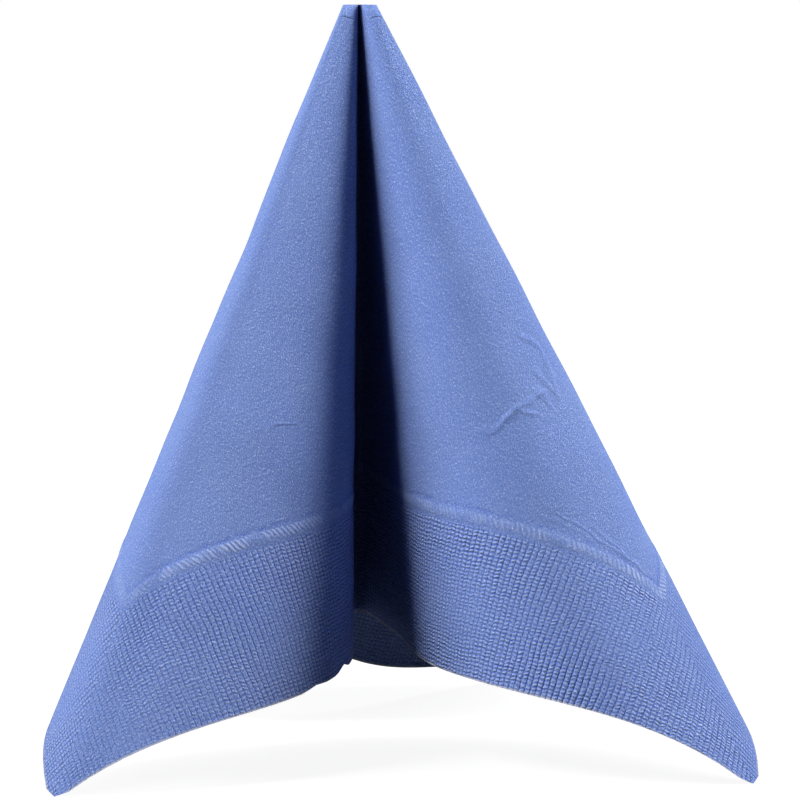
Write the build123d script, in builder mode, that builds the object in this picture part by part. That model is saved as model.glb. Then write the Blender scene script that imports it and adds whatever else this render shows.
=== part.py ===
from build123d import *
import math
import os

# A square paper napkin lifted by its middle and set down on its four corners, so that it
# stands like a small tent. It is one sheet: the middles of the four edges are gathered
# inwards as valleys and the corners swing out as legs. Every line from the point to the rim
# stays straight, so the sheet is laid out as narrow flat strips that all meet at the point.

# Sheet, and how thin it is squeezed where it is pinched together under the point
side = 400.0
thick = 0.3
pinched_thick = 0.06
half_side = side / 2

# Standing shape: the lean of a leg from the plumb line in degrees, how much of the tips the
# table presses flat, and how far under the point the pinched middle closes, outside and inside
leg_lean = 33.0
foot_cut = 3.0
crown_drop = 10.8
ceiling_drop = 16.0

# Embossed bead along the inner edge of the border, by distance from the rim
bead_outer = 44.0
bead_crest = 46.0
bead_inner = 48.0
bead_rise = 0.5

# Ring of directions from the point: how far round the flat sheet (0 is the middle of the
# front edge, 45 the front right corner), then how far that line leans to the right and how
# far away from the viewer, all in degrees
lean_angles = [
    (0, 0.2, 6.5), (4, 2.0, 2.0), (15, 4.5, -9.5), (30, 11.0, -23.0),
    (45, 24.7, -22.0), (60, 24.0, -5.0), (75, 12.5, 0.5), (86, 5.0, 3.0),
    (90, 3.0, 6.0), (94, 5.5, 8.0), (105, 14.5, 8.0), (120, 21.5, 18.0),
    (135, 12.0, 30.7), (150, 0.0, 17.5), (165, -9.5, 14.0), (176, -5.5, 9.8),
    (180, 0.0, 8.8), (184, -5.0, 7.6), (195, -14.0, 8.0), (210, -14.5, 21.0),
    (225, -18.5, 27.3), (240, -20.0, 13.0), (255, -13.0, 4.5), (266, -5.5, 4.8),
    (270, -2.8, 4.8), (274, -4.0, 2.0), (285, -9.5, -6.5), (300, -19.5, -14.0),
    (315, -18.3, -27.5), (330, -5.0, -23.0), (345, -0.4, -10.0), (356, -1.0, 2.5),
]
full_turn = 360.0
edge_turn = 90.0

# Flat strips across one edge of the sheet, and how much they crowd together at the valley,
# where the fold is tight
strips = 32
crowding = 0.8

# A strip whose corners lie this near to one plane counts as flat
flat_enough = 1e-6

point_height = half_side * math.sqrt(2) * math.cos(math.radians(leg_lean))
count = len(lean_angles)


def gap_after(place):
    return (lean_angles[(place + 1) % count][0] - lean_angles[place][0]) % full_turn


def settled_slopes(column):
    # slopes that bend the curve through the ring as evenly as a springy strip; each round
    # brings them closer
    slopes = [0.0] * count
    for settling in range(60):
        for place in range(count):
            before = gap_after(place - 1)
            after = gap_after(place)
            following = (place + 1) % count
            rise = (lean_angles[following][column] - lean_angles[place][column]) / after
            climb = (lean_angles[place][column] - lean_angles[place - 1][column]) / before
            pull = 3 * (rise * before + climb * after)
            pull -= before * slopes[following] + after * slopes[place - 1]
            slopes[place] = pull / (2 * (before + after))
    return slopes


right_slopes = settled_slopes(1)
away_slopes = settled_slopes(2)


def on_ring(turn, column, slopes):
    turn = turn % full_turn
    place = max(number for number in range(count) if lean_angles[number][0] <= turn)
    following = (place + 1) % count
    gap = gap_after(place)
    part = (turn - lean_angles[place][0]) / gap
    rest = 1 - part
    leaving = lean_angles[place][column] * (1 + 2 * part) + gap * slopes[place] * part
    coming = lean_angles[following][column] * (1 + 2 * rest) - gap * slopes[following] * rest
    return leaving * rest ** 2 + coming * part ** 2


def direction(turn):
    right = on_ring(turn, 1, right_slopes)
    away = on_ring(turn, 2, away_slopes)
    lean = math.hypot(right, away)
    share = math.sin(math.radians(lean)) / lean
    return Vector(right * share, away * share, -math.cos(math.radians(lean)))


# the folds between the strips: place on the edge of the sheet, and the way from the point
folds = []
for number in range(4 * strips):
    share = 2 * (number % strips) / strips - 1
    station = edge_turn / 2 * (share + crowding * share ** 3) / (1 + crowding)
    folds.append((station, direction(edge_turn * (number // strips) + station)))
strip_faces = [
    way.cross(folds[(number + 1) % len(folds)][1]).normalized()
    for number, (station, way) in enumerate(folds)
]


def from_edge(width):
    # how far from the point a line lies that runs along an edge of the sheet, width inside it
    return lambda station, way, lift: (half_side - width) / math.cos(math.radians(station))


def level(drop):
    # how far from the point a line lies that stays one drop below it, when the paper's own
    # thickness already lifts it
    return lambda station, way, lift: (drop + lift) / -way.Z


def line(reach, offset):
    # a line round the sheet with a corner at each fold, off the middle of the paper by offset
    points = []
    for number, (station, way) in enumerate(folds):
        before, after = strip_faces[number - 1], strip_faces[number]
        lift = (before + after) * (offset / (1 + before.dot(after)))
        reached = way * reach(station, way, lift.Z)
        points.append(Vector(0, 0, point_height) + reached + lift)
    return points


def band(upper, lower):
    # strips between two lines; where a strip isn't quite flat it has a fold across it
    faces = []
    for number in range(len(folds)):
        a, b = upper[number - 1], upper[number]
        c, d = lower[number], lower[number - 1]
        bent = (b - a).cross(c - a).normalized().dot(d - a)
        if abs(bent) < flat_enough:
            faces.append(Face(Wire.make_polygon([a, b, c, d])))
        else:
            faces.append(Face(Wire.make_polygon([a, b, c])))
            faces.append(Face(Wire.make_polygon([a, c, d])))
    return faces


def skin(outward, drop):
    # one face of the paper, out of lines from the pinched middle to the rim
    offset = outward * thick / 2
    lines = [
        line(level(drop), outward * pinched_thick / 2),
        line(from_edge(bead_inner), offset),
        line(from_edge(bead_crest), offset + bead_rise),
        line(from_edge(bead_outer), offset),
        line(from_edge(0), offset),
    ]
    faces = [Face(Wire.make_polygon(lines[0]))]
    for upper, lower in zip(lines, lines[1:]):
        faces += band(upper, lower)
    return faces, lines[-1]


outside, outer_rim = skin(1, crown_drop)
inside, inner_rim = skin(-1, ceiling_drop)
cut_edge = band(outer_rim, inner_rim)

with BuildPart() as napkin:
    add(Solid(Shell(outside + inside + cut_edge)))
    split(bisect_by=Plane.XY.offset(foot_cut), keep=Keep.TOP)

# set the part's own origin under the middle of its box, on the table
box = napkin.part.bounding_box()
middle = box.center()
napkin.part.position = (-middle.X, -middle.Y, -box.min.Z)
napkin.part.label = "napkin"

os.makedirs("parts", exist_ok=True)
export_step(napkin.part, "parts/napkin.step")
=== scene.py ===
import bpy
import math
import numpy as np
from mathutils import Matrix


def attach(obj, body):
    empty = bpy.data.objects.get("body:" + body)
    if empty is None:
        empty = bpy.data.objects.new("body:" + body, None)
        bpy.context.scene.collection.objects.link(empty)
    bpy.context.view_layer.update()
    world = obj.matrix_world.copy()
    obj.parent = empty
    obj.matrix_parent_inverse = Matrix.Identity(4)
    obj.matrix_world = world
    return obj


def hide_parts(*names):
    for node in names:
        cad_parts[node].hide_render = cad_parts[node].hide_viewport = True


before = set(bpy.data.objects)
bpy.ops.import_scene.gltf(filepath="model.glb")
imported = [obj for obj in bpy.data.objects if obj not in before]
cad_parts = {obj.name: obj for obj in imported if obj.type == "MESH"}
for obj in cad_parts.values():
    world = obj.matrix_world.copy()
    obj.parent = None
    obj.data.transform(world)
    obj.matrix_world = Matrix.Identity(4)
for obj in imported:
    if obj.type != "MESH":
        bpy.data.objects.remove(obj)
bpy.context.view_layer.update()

# The napkin: one square of two-ply tissue, dyed blue and embossed between rollers, lifted by
# its middle and stood on its corners. Each line from the point to the rim stays straight, so
# the sheet follows a ring of directions, and the embossing lies in the sheet's flat measure.
half_side = 0.2
ply_gap = 0.0004
edge_step = 0.0005
leg_lean = 33.0
foot_cut = 0.003
crown_drop = 0.0108
ceiling_drop = 0.016
bead_low, bead_top = 0.0435, 0.0485
bead_rise = 0.00028
full_turn, edge_turn = 360, 90
# how far round the flat sheet, then the lean to the right and away from the viewer, degrees
ring = np.array([
    (0, 0.2, 6.5), (4, 2.0, 2.0), (15, 4.5, -9.5), (30, 11.0, -23.0),
    (45, 24.7, -22.0), (60, 24.0, -5.0), (75, 12.5, 0.5), (86, 5.0, 3.0),
    (90, 3.0, 6.0), (94, 5.5, 8.0), (105, 14.5, 8.0), (120, 21.5, 18.0),
    (135, 12.0, 30.7), (150, 0.0, 17.5), (165, -9.5, 14.0), (176, -5.5, 9.8),
    (180, 0.0, 8.8), (184, -5.0, 7.6), (195, -14.0, 8.0), (210, -14.5, 21.0),
    (225, -18.5, 27.3), (240, -20.0, 13.0), (255, -13.0, 4.5), (266, -5.5, 4.8),
    (270, -2.8, 4.8), (274, -4.0, 2.0), (285, -9.5, -6.5), (300, -19.5, -14.0),
    (315, -18.3, -27.5), (330, -5.0, -23.0), (345, -0.4, -10.0), (356, -1.0, 2.5),
])
point_height = half_side * math.sqrt(2) * math.cos(math.radians(leg_lean))

# even bending through the ring's directions
turns = ring[:, 0]
count = len(ring)
gap_after = (np.roll(turns, -1) - turns) % full_turn
gap_before = np.roll(gap_after, 1)
rise_after = (np.roll(ring[:, 1:], -1, axis=0) - ring[:, 1:]) / gap_after[:, None]
rise_before = np.roll(rise_after, 1, axis=0)
bending = np.zeros((count, count))
for place in range(count):
    bending[place, place] = 2 * (gap_before[place] + gap_after[place])
    bending[place, (place + 1) % count] = gap_before[place]
    bending[place, place - 1] = gap_after[place]
slopes = np.linalg.solve(
    bending, 3 * (rise_after * gap_before[:, None] + rise_before * gap_after[:, None])
)


def direction(turn):
    turn = np.asarray(turn) % full_turn
    place = np.searchsorted(turns, turn, side="right") - 1
    following = (place + 1) % count
    gap = gap_after[place][..., None]
    part = ((turn - turns[place]) / gap_after[place])[..., None]
    rest = 1 - part
    leaving = ring[place, 1:] * (1 + 2 * part) + gap * slopes[place] * part
    coming = ring[following, 1:] * (1 + 2 * rest) - gap * slopes[following] * rest
    lean = leaving * rest ** 2 + coming * part ** 2
    right, away = lean[..., 0], lean[..., 1]
    size = np.hypot(right, away)
    share = np.sin(np.radians(size)) / size
    return np.stack([right * share, away * share, -np.cos(np.radians(size))], axis=-1)


# columns across each of the four edges, closer together at the valley, with the way from the
# point down each column and the way out of the paper there
columns = 150
crowding = 0.8
small_turn = 0.02
across = np.linspace(-1, 1, columns + 1)
stations = edge_turn / 2 * (across + crowding * across ** 3) / (1 + crowding)
station = np.tile(stations[:-1], 4)
next_station = np.tile(stations[1:], 4)
turn = np.concatenate([stations[:-1] + edge_turn * edge for edge in range(4)])
around = len(turn)
way = direction(turn)
ahead = direction(turn + small_turn) - direction(turn - small_turn)
out = np.cross(way, ahead)
out /= np.linalg.norm(out, axis=1)[:, None]
slant = 1 / np.cos(np.radians(station))

# rows: the field, then the bead, then the border down to the rim or to the table
field_rows, bead_rows, border_rows = 39, 12, 25
field_shares = np.linspace(0, 1, field_rows + 1)[:-1]
bead_widths = np.linspace(bead_top, bead_low, bead_rows)
border_shares = np.linspace(0, 1, border_rows + 1)[1:]

# the bead sinks into the paper over the last degrees before the ridge of a leg, and the plies
# are pinched together at the point and open within the first rows
bead_fade_turn = 9
bead_fade = np.clip((edge_turn / 2 - np.abs(station)) / bead_fade_turn, 0, 1)
pinched_share, opening_rate = 0.3, 6

# soft waves in the standing paper: length, way round on the flat sheet in degrees, where the
# wave starts, and its height
wave_shapes = (
    (0.068, 20, 0.4, 0.00014), (0.047, 75, 1.9, 0.0001), (0.033, 130, 3.1, 0.00009),
    (0.058, 160, 5.2, 0.00012), (0.026, 50, 2.2, 0.00007),
)
wave_end, wave_start = 0.008, 0.05
full_wave_reach = 0.1

# nicks in the rim, where it is crumpled at the front valley, by turn and depth, and ripples
# that a cut edge of tissue has all round, by how often they come and where they start
nicks = ((333, 0.0007), (338, 0.0016), (343.5, 0.0009), (349, 0.0014))
nick_reach = 1.6
ripples = ((11, 0), (29, 40))
ripple_depth = 0.00008


def rim_nicks(turn):
    depth = ripple_depth * sum(np.sin(np.radians(turn * often + start)) for often, start in ripples)
    for place, size in nicks:
        depth = depth + size * np.clip(1 - np.abs(turn % full_turn - place) / nick_reach, 0, 1)
    return depth + len(ripples) * ripple_depth


def paper_waves(reach):
    # how far the paper swells outwards; it fades towards the point and towards the rim
    x = reach * np.sin(np.radians(turn))
    y = reach * -np.cos(np.radians(turn))
    swell = np.zeros_like(reach)
    for length, way_round, start, size in wave_shapes:
        forth = x * math.cos(math.radians(way_round)) + y * math.sin(math.radians(way_round))
        swell += size * np.sin(2 * math.pi * forth / length + start)
    inside_rim = half_side - reach * np.cos(np.radians(station))
    rim_fade = np.clip((inside_rim - wave_end) / (wave_start - wave_end), 0, 1)
    return swell * rim_fade * np.clip(reach / full_wave_reach, 0, 1)


def skin(offset, drop, rim_width):
    # one face of the paper: places in rows from the point to the rim, and how far each lies
    # from the point on the flat sheet
    first = (drop + out[:, 2] * offset) / -way[:, 2]
    bead_start = (half_side - bead_top) * slant
    bead_end = (half_side - bead_low) * slant
    table = (point_height - foot_cut + out[:, 2] * offset) / -way[:, 2]
    rim = np.minimum((half_side - rim_width - rim_nicks(turn)) * slant, table)
    reaches = [first + (bead_start - first) * share for share in field_shares]
    opened = [min(1, pinched_share + share * opening_rate) for share in field_shares]
    lifts = [np.full(around, offset * share) for share in opened]
    for width in bead_widths:
        swell = math.sin(math.pi * (bead_top - width) / (bead_top - bead_low)) ** 2
        reaches.append((half_side - width) * slant)
        lifts.append(offset + bead_rise * swell * bead_fade)
    reaches += [bead_end + (rim - bead_end) * share for share in border_shares]
    lifts += [np.full(around, offset) for share in border_shares]
    reaches = np.array(reaches)
    lifts = np.array(lifts) + paper_waves(reaches)
    places = np.array([0, 0, point_height]) + way * reaches[..., None] + out * lifts[..., None]
    return places, reaches


outer, outer_reach = skin(ply_gap / 2, crown_drop, 0)
inner, inner_reach = skin(-ply_gap / 2, ceiling_drop, edge_step)
low = np.minimum(outer.min(axis=(0, 1)), inner.min(axis=(0, 1)))
high = np.maximum(outer.max(axis=(0, 1)), inner.max(axis=(0, 1)))

# the frame starts on the table, under the middle of the napkin's box
under = np.array([*((low + high) / 2)[:2], foot_cut])
outer -= under
inner -= under
rows = len(outer)
points = np.concatenate([
    outer.reshape(-1, 3), inner.reshape(-1, 3), [outer[0].mean(axis=0), inner[0].mean(axis=0)]
])


def flat_place(reach, station):
    # place on the flat sheet in metres: along the edge, and inside the rim
    station = np.radians(station)
    return np.stack([reach * np.sin(station), half_side - reach * np.cos(station)], axis=-1)


def sheet_place(reach, turn):
    # place on the whole flat sheet in metres, from its middle
    turn = np.radians(turn)
    return np.stack([reach * np.sin(turn), reach * -np.cos(turn)], axis=-1)


def quads(first_point, reach, turned):
    # the faces between the rows, and where each of their corners lies on the flat sheet
    number = first_point + np.arange(rows * around).reshape(rows, around)
    upper, lower = number[:-1], number[1:]
    corners = [upper, lower, np.roll(lower, -1, axis=1), np.roll(upper, -1, axis=1)]
    corner_reaches = [
        reach[:-1], reach[1:], np.roll(reach[1:], -1, axis=1), np.roll(reach[:-1], -1, axis=1)
    ]
    corner_stations = [station, station, next_station, next_station]
    corner_turns = [turn, turn, np.roll(turn, -1), np.roll(turn, -1)]
    if turned:
        for corner_list in (corners, corner_reaches, corner_stations, corner_turns):
            corner_list.reverse()
    flat_places = [flat_place(*pair) for pair in zip(corner_reaches, corner_stations)]
    sheet_places = [sheet_place(*pair) for pair in zip(corner_reaches, corner_turns)]
    return (
        np.stack(corners, axis=-1).reshape(-1, 4),
        np.stack(flat_places, axis=-2).reshape(-1, 2),
        np.stack(sheet_places, axis=-2).reshape(-1, 2),
    )


# the two skins, the cut edge between them, and the pinched middle closed outside and inside
outer_faces, outer_flat, outer_sheet = quads(0, outer_reach, False)
inner_faces, inner_flat, inner_sheet = quads(rows * around, inner_reach, True)
outer_rim = (rows - 1) * around + np.arange(around)
inner_rim = outer_rim + rows * around
rim_faces = np.stack([
    outer_rim, inner_rim, np.roll(inner_rim, -1), np.roll(outer_rim, -1)
], axis=-1)
crown_faces = np.stack([
    np.full(around, 2 * rows * around), np.arange(around), np.roll(np.arange(around), -1)
], axis=-1)
ceiling_faces = np.stack([
    np.full(around, 2 * rows * around + 1), rows * around + np.roll(np.arange(around), -1),
    rows * around + np.arange(around),
], axis=-1)
faces = [*outer_faces.tolist(), *inner_faces.tolist(), *rim_faces.tolist()]
faces += [*crown_faces.tolist(), *ceiling_faces.tolist()]
mesh = bpy.data.meshes.new("napkin_sheet")
mesh.from_pydata(points.tolist(), [], faces)
for name, outer_places, inner_places in (
    ("flat", outer_flat, inner_flat), ("sheet", outer_sheet, inner_sheet)
):
    places = np.zeros((len(mesh.loops), 2))
    places[:, 1] = half_side - crown_drop
    known = np.concatenate([outer_places, inner_places])
    places[:len(known)] = known
    mesh.uv_layers.new(name=name).data.foreach_set("uv", places.ravel())
kinds = np.zeros(len(faces), dtype=int)
kinds[len(outer_faces) + len(inner_faces):][:around] = 1
mesh.polygons.foreach_set("material_index", kinds)
mesh.polygons.foreach_set("use_smooth", kinds == 0)
mesh.update()

# the cut edge is crisp, so the paper's shading doesn't turn round it
edge_ends = np.zeros(2 * len(mesh.edges), dtype=int)
mesh.edges.foreach_get("vertices", edge_ends)
edge_ends = edge_ends.reshape(-1, 2)
on_outer_rim = np.isin(edge_ends, outer_rim).all(axis=1)
on_inner_rim = np.isin(edge_ends, inner_rim).all(axis=1)
mesh.edges.foreach_set("use_edge_sharp", on_outer_rim | on_inner_rim)
napkin = bpy.data.objects.new("napkin_sheet", mesh)
bpy.context.scene.collection.objects.link(napkin)


# nodes_of fetches the nodes and links of a material or of the world, and the functions after
# it work on the ones that were fetched last
def nodes_of(owner):
    owner.use_nodes = True
    return owner.node_tree.nodes, owner.node_tree.links


def fill(node, slot, value):
    if isinstance(value, bpy.types.NodeSocket):
        links.new(value, node.inputs[slot])
    else:
        node.inputs[slot].default_value = value


def calc(operation, *values):
    node = nodes.new("ShaderNodeMath")
    node.operation = operation
    for slot, value in enumerate(values):
        fill(node, slot, value)
    return node.outputs[0]


def product(first, *others):
    for other in others:
        first = calc("MULTIPLY", first, other)
    return first


def ramp(value, low, high, to_low=0.0, to_high=1.0):
    node = nodes.new("ShaderNodeMapRange")
    node.interpolation_type = "SMOOTHSTEP"
    for slot, number in (("Value", value), ("From Min", low), ("From Max", high),
                         ("To Min", to_low), ("To Max", to_high)):
        fill(node, slot, number)
    return node.outputs["Result"]


def mottle(place, scale, detail=2.0, roughness=0.5):
    node = nodes.new("ShaderNodeTexNoise")
    links.new(place, node.inputs["Vector"])
    node.inputs["Scale"].default_value = scale
    node.inputs["Detail"].default_value = detail
    node.inputs["Roughness"].default_value = roughness
    return node.outputs["Fac"]


def wave(value):
    # from 0 to 1 and back, once a turn
    return calc("MULTIPLY_ADD", calc("COSINE", calc("MULTIPLY", value, 2 * math.pi)), 0.5, 0.5)


def wandered(coordinate, scale, reach):
    # the coordinate pushed to and fro, because tissue stretches
    to_and_fro = calc("SUBTRACT", mottle(sheet_uv, scale, 1), 0.5)
    return calc("MULTIPLY_ADD", to_and_fro, reach, coordinate)


def uv_parts(name):
    node = nodes.new("ShaderNodeUVMap")
    node.uv_map = name
    parts = nodes.new("ShaderNodeSeparateXYZ")
    links.new(node.outputs["UV"], parts.inputs["Vector"])
    return node.outputs["UV"], parts.outputs["X"], parts.outputs["Y"]


def blend(amount, first, second):
    node = nodes.new("ShaderNodeMix")
    node.data_type = "RGBA"
    fill(node, "Factor", amount)
    for slot, colour in ((6, first), (7, second)):
        fill(node, slot, colour)
    return node.outputs[2]


tissue = bpy.data.materials.new("blue_tissue")
nodes, links = nodes_of(tissue)
shader = nodes["Principled BSDF"]
shader.inputs["Roughness"].default_value = 0.88
shader.inputs["Specular IOR Level"].default_value = 0.12
shader.inputs["Sheen Weight"].default_value = 0.01
shader.inputs["Sheen Roughness"].default_value = 0.6
along, inside = uv_parts("flat")[1:]
sheet_uv, sheet_x, sheet_y = uv_parts("sheet")

# knit-like embossing: columns square to the rim, each a stack of short slanted dashes, strong
# in some places and weak in others, and weaker towards the left end of an edge, seen from
# outside
column_pitch = 0.0018
dash_pitch = 0.00115
dash_slope = 0.00028
dash_depth = 0.0006
groove_depth = 0.0004
border_top = 0.0436
border_fade = 0.0008
weak_end, strong_end = -0.165, -0.08
along_now = wandered(along, 60, 0.0018)
inside_now = wandered(wandered(inside, 75, 0.0016), 380, 0.0007)
column = calc("DIVIDE", along_now, column_pitch)
in_column = product(calc("ABSOLUTE", calc("SUBTRACT", calc("FRACT", column), 0.5)), 2.0)
crossing = calc("PINGPONG", column, 1.0)
dash = calc("DIVIDE", calc("MULTIPLY_ADD", crossing, dash_slope, inside_now), dash_pitch)
column_crown = calc("SUBTRACT", 1.0, calc("POWER", in_column, 2.2))
dash_crown = wave(dash)
broad_patches = ramp(mottle(sheet_uv, 26, 3), 0.34, 0.62, 0.4, 1.0)
small_patches = ramp(mottle(sheet_uv, 420, 2), 0.35, 0.65, 0.5, 1.25)
patches = product(broad_patches, small_patches, ramp(along, weak_end, strong_end, 0.5, 1.0))
bold_grooves = ramp(mottle(sheet_uv, 19, 2), 0.45, 0.65, 0.55, 1.15)
in_border = ramp(inside, border_top, border_top - border_fade)
cells = product(dash_crown, column_crown, patches, in_border)
grooves = product(calc("POWER", in_column, 4.0), bold_grooves, in_border)

# bead: slanted lumps on the raised line, with a pressed trench on the field's side
lump_pitch = 0.0017
lump_slant = 0.55
lump_depth = 0.00028
trench_depth = 0.00014
trench_reach = 0.0012
bead_width = bead_top - bead_low
from_bead = calc("SUBTRACT", inside, (bead_low + bead_top) / 2)
lump_line = calc("MULTIPLY_ADD", from_bead, lump_slant, wandered(along_now, 240, 0.002))
lump = wave(calc("DIVIDE", lump_line, lump_pitch))
on_bead = ramp(calc("ABSOLUTE", from_bead), bead_width * 0.36, bead_width * 0.22)
broad_patches = ramp(mottle(sheet_uv, 22, 2), 0.35, 0.6, 0.35, 1.0)
small_patches = ramp(mottle(sheet_uv, 210, 2), 0.35, 0.6, 0.15, 1.3)
bead_patches = product(broad_patches, small_patches)
lumps = product(lump, on_bead, bead_patches)
from_trench = calc("ABSOLUTE", calc("SUBTRACT", inside, bead_top))
trench = product(ramp(from_trench, trench_reach, 0.0), bead_patches)

# crepe: fine short wrinkles that run one way over the whole sheet, and soft crinkles in it
crepe_depth = 0.0007
crinkle_depth = 0.0009
crepe_narrowing = 2.4
stretch = nodes.new("ShaderNodeCombineXYZ")
fill(stretch, "X", product(sheet_x, crepe_narrowing))
fill(stretch, "Y", sheet_y)
crepe = mottle(stretch.outputs[0], 1400, 3, 0.7)
crinkles = mottle(sheet_uv, 55, 3, 0.55)

# small creases, placed on the flat sheet after the photo and rounded, to 5 mm, and to
# 1 mm beside the bead and at the tip: from, to, half width and height
creases = (
    ((0.125, -0.145), (0.15, -0.152), 0.0009, 0.00026),
    ((0.11, -0.145), (0.145, -0.151), 0.001, 0.00024),
    ((0.095, -0.145), (0.125, -0.15), 0.0014, 0.0002),
    ((0.085, -0.095), (0.095, -0.095), 0.0024, 0.0005),
    ((0.095, -0.095), (0.105, -0.11), 0.002, 0.00045),
    ((0.09, -0.125), (0.1, -0.11), 0.0018, 0.0005),
    ((0.09, -0.12), (0.1, -0.12), 0.0018, 0.0005),
    ((0.095, -0.105), (0.105, -0.11), 0.002, 0.0004),
    ((0.085, -0.13), (0.095, -0.12), 0.0022, 0.0004),
    ((0.095, -0.11), (0.105, -0.115), 0.0018, 0.00034),
    ((-0.09, -0.125), (-0.08, -0.125), 0.001, 0.0004),
    ((-0.012, -0.013), (-0.008, -0.014), 0.0008, -0.0005),
    ((0.01, -0.014), (0.012, -0.013), 0.0006, -0.0004),
)
crease_wander = 0.006
bent_x = wandered(sheet_x, 130, crease_wander)
bent_y = wandered(sheet_y, 145, crease_wander)


def crease(start, end, half_width):
    # 1 along the middle of the crease, fading to 0 at its sides and its ends
    long = math.dist(start, end)
    way_x, way_y = (end[0] - start[0]) / long, (end[1] - start[1]) / long
    from_x = calc("SUBTRACT", bent_x, start[0])
    from_y = calc("SUBTRACT", bent_y, start[1])
    forth = calc("MULTIPLY_ADD", from_x, way_x, product(from_y, way_y))
    aside = calc("MULTIPLY_ADD", from_x, way_y, product(from_y, -way_x))
    from_middle = calc("ABSOLUTE", calc("SUBTRACT", forth, long / 2))
    near_line = ramp(calc("ABSOLUTE", aside), half_width, 0.0)
    return product(near_line, ramp(from_middle, long * 0.6, long * 0.3))


height = product(cells, dash_depth)
for start, end, half_width, rise in creases:
    height = calc("MULTIPLY_ADD", crease(start, end, half_width), rise, height)
for shape, rise in (
    (grooves, -groove_depth), (lumps, lump_depth), (trench, -trench_depth),
    (crepe, crepe_depth), (crinkles, crinkle_depth),
):
    height = calc("MULTIPLY_ADD", shape, rise, height)
bump = nodes.new("ShaderNodeBump")
bump.inputs["Distance"].default_value = 1.0
bump.inputs["Strength"].default_value = 1.0
fill(bump, "Height", height)
links.new(bump.outputs["Normal"], shader.inputs["Normal"])

# colour: the dye is cloudy at random; painted highlight on what the rollers raised and on the
# crepe's crests, painted shade in what they pressed and in its wrinkles, painted sheen in flecks
# and on the bead's lumps, and a thin pale line of painted highlight along the rim where it was cut
# the paler blue is painted highlight, the deep blue is darker dye in the clouds and also painted
# shade, the fleck blue is painted sheen, and the rim grey is painted highlight along the cut edge
paper_blue = (0.198, 0.305, 0.69, 1)
highlight_pale_blue = (0.48, 0.6, 0.96, 1)
dye_and_shade_blue = (0.075, 0.16, 0.64, 1)
painted_sheen_blue = (0.62, 0.69, 0.97, 1)
rim_highlight_grey = (0.6, 0.62, 0.72, 1)
# how much painted highlight the cells and lumps get, and how much painted shade the grooves, gaps
# and trench get
cell_highlight, lump_highlight, lump_glint = 0.8, 0.45, 0.16
groove_shade, gap_shade, trench_shade = 0.8, 0.75, 0.4
rim_line_start, rim_line_full = 0.0009, 0.0004
# painted highlight on the crests of the crepe, and painted shade in its wrinkles
crepe_highlight = ramp(crepe, 0.5, 0.66, 0.0, 0.9)
wrinkle_shade = ramp(crepe, 0.5, 0.32, 0.0, 0.6)
# painted highlight on the embossed cells and on the bead's lumps
painted_highlight = calc("MULTIPLY_ADD", cells, cell_highlight, product(lumps, lump_highlight))
# painted shade in the gaps between the dashes, in the grooves and the trench, and in the crepe's
# wrinkles
gaps = product(calc("SUBTRACT", 1.0, dash_crown), in_border, patches)
painted_shade = calc("MULTIPLY_ADD", grooves, groove_shade, product(trench, trench_shade))
painted_shade = calc("ADD", calc("MULTIPLY_ADD", gaps, gap_shade, painted_shade), wrinkle_shade)
cloudy = ramp(mottle(sheet_uv, 40, 4), 0.3, 0.7, 0.0, 0.16)
# fine pale flecks of painted sheen over the paper
sheen_flecks = ramp(mottle(sheet_uv, 1700, 1), 0.64, 0.74, 0.0, 0.8)
colour = blend(cloudy, paper_blue, dye_and_shade_blue)
colour = blend(calc("MINIMUM", painted_shade, 1.0), colour, dye_and_shade_blue)
colour = blend(calc("MINIMUM", calc("ADD", painted_highlight, crepe_highlight), 1.0), colour, highlight_pale_blue)
# painted sheen on the bead's lumps
colour = blend(product(lumps, lump_glint), colour, painted_sheen_blue)
colour = blend(sheen_flecks, colour, painted_sheen_blue)
# a thin pale line of painted highlight along the rim, standing for the lit cut edge
colour = blend(ramp(inside, rim_line_start, rim_line_full, 0.0, 0.75), colour, rim_highlight_grey)
links.new(colour, shader.inputs["Base Color"])

# the cut edge shows the pale undyed middle of the tissue between the two plies
edge_grey = (0.45, 0.47, 0.56, 1)
edge_pale = (0.75, 0.74, 0.76, 1)
edge = bpy.data.materials.new("cut_edge")
nodes, links = nodes_of(edge)
shader = nodes["Principled BSDF"]
shader.inputs["Roughness"].default_value = 0.95
edge_place = nodes.new("ShaderNodeTexCoord")
fibre = mottle(edge_place.outputs["Object"], 900, 3)
links.new(blend(ramp(fibre, 0.3, 0.7), edge_grey, edge_pale), shader.inputs["Base Color"])
bump = nodes.new("ShaderNodeBump")
bump.inputs["Distance"].default_value = 0.0001
fill(bump, "Height", fibre)
links.new(bump.outputs["Normal"], shader.inputs["Normal"])
mesh.materials.append(tissue)
mesh.materials.append(edge)

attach(napkin, "root")
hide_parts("napkin")

# Floor: a plain white table top under the legs, wide enough to reach past the picture. It keeps
# the napkin's shadow near the legs and turns fully white to the camera further off.
near_reach, far_reach = 0.15, 0.9
near_white, far_white = 0.92, 1.0
floor_side = 12
bpy.ops.mesh.primitive_plane_add(size=floor_side)
floor = bpy.context.object
floor.name = "floor"
white = bpy.data.materials.new("white_table")
nodes, links = nodes_of(white)
shader = nodes["Principled BSDF"]
shader.inputs["Base Color"].default_value = (0.1, 0.1, 0.1, 1)
shader.inputs["Roughness"].default_value = 0.9
shader.inputs["Emission Color"].default_value = (1, 1, 1, 1)
path = nodes.new("ShaderNodeLightPath")
table_place = nodes.new("ShaderNodeTexCoord")
from_legs = nodes.new("ShaderNodeVectorMath")
from_legs.operation = "LENGTH"
links.new(table_place.outputs["Object"], from_legs.inputs[0])
whiteness = ramp(from_legs.outputs["Value"], near_reach, far_reach, near_white, far_white)
seen_white = product(path.outputs["Is Camera Ray"], whiteness)
links.new(seen_white, shader.inputs["Emission Strength"])
floor.data.materials.append(white)

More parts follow.
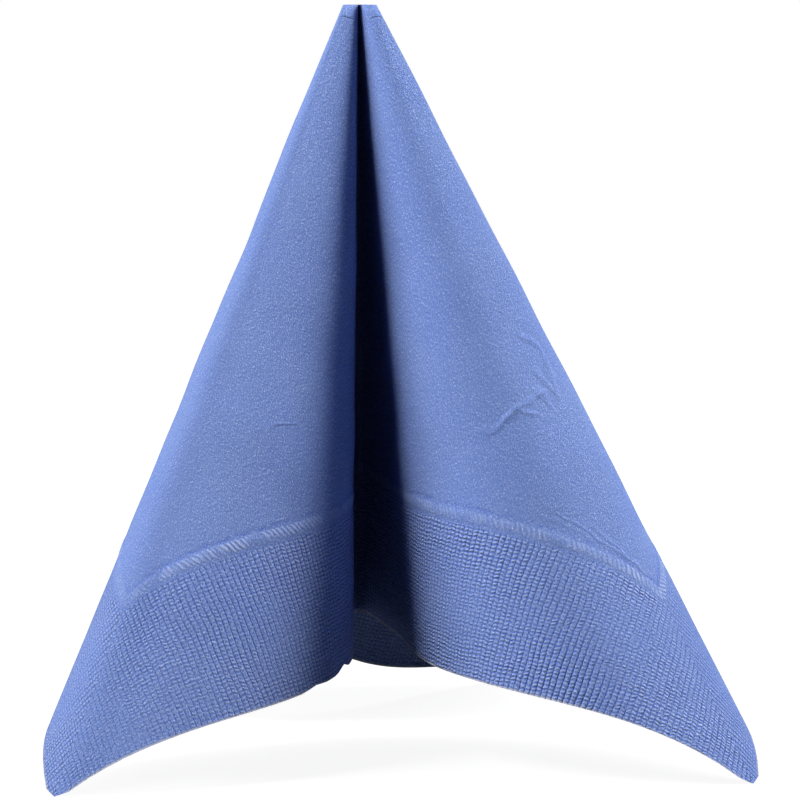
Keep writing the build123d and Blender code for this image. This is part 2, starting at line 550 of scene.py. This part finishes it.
# Light: a dim tent all round, which is white where the camera sees it, two soft lamps on the
# left, one on the right that leaves the front fold dark, and a weak one above the back
tent_light, tent_white = 0.008, 1.0
world = bpy.data.worlds.new("tent")
bpy.context.scene.world = world
nodes, links = nodes_of(world)
background = nodes["Background"]
background.inputs["Color"].default_value = (1, 1, 1, 1)
path = nodes.new("ShaderNodeLightPath")
seen = nodes.new("ShaderNodeMapRange")
seen.inputs["To Min"].default_value = tent_light
seen.inputs["To Max"].default_value = tent_white
links.new(path.outputs["Is Camera Ray"], seen.inputs["Value"])
links.new(seen.outputs["Result"], background.inputs["Strength"])

# lamps: degrees round from the front and above level, width and height in metres, watts
lamp_distance = 1.6
lamp_target = 0.1
for name, azimuth, elevation, wide, tall, power in (
    ("left_lamp", -75, 28, 0.5, 0.8, 15),
    ("left_upper_lamp", -60, 46, 0.5, 0.5, 21),
    ("right_lamp", 93, 26, 0.5, 0.6, 32),
    ("back_lamp", 180, 65, 0.8, 0.8, 9),
):
    lamp_data = bpy.data.lights.new(name, "AREA")
    lamp_data.shape = "RECTANGLE"
    lamp_data.size = wide
    lamp_data.size_y = tall
    lamp_data.energy = power
    lamp = bpy.data.objects.new(name, lamp_data)
    side_way = math.radians(azimuth)
    rise = math.radians(elevation)
    level_distance = lamp_distance * math.cos(rise)
    lamp.location = (
        level_distance * math.sin(side_way), -level_distance * math.cos(side_way),
        lamp_target + lamp_distance * math.sin(rise),
    )
    lamp.rotation_euler = (math.radians(90) - rise, 0, side_way)
    bpy.context.scene.collection.objects.link(lamp)

# Camera: a long lens a metre and a half away and four degrees above level, aimed a little
# under the middle of the napkin's height, as worked out from the photograph
camera_distance = 1.5267
tilt = math.radians(4)
aim = np.array([0.01282, 0, 0.10605]) - under
camera_data = bpy.data.cameras.new("camera")
camera_data.sensor_width = 36
camera_data.lens = 225
camera = bpy.data.objects.new("camera", camera_data)
back_and_up = np.array([0, -camera_distance * math.cos(tilt), camera_distance * math.sin(tilt)])
camera.location = aim + back_and_up
camera.rotation_euler = (math.radians(90) - tilt, 0, 0)
bpy.context.scene.collection.objects.link(camera)
bpy.context.scene.camera = camera
bpy.context.scene.view_settings.view_transform = "Standard"
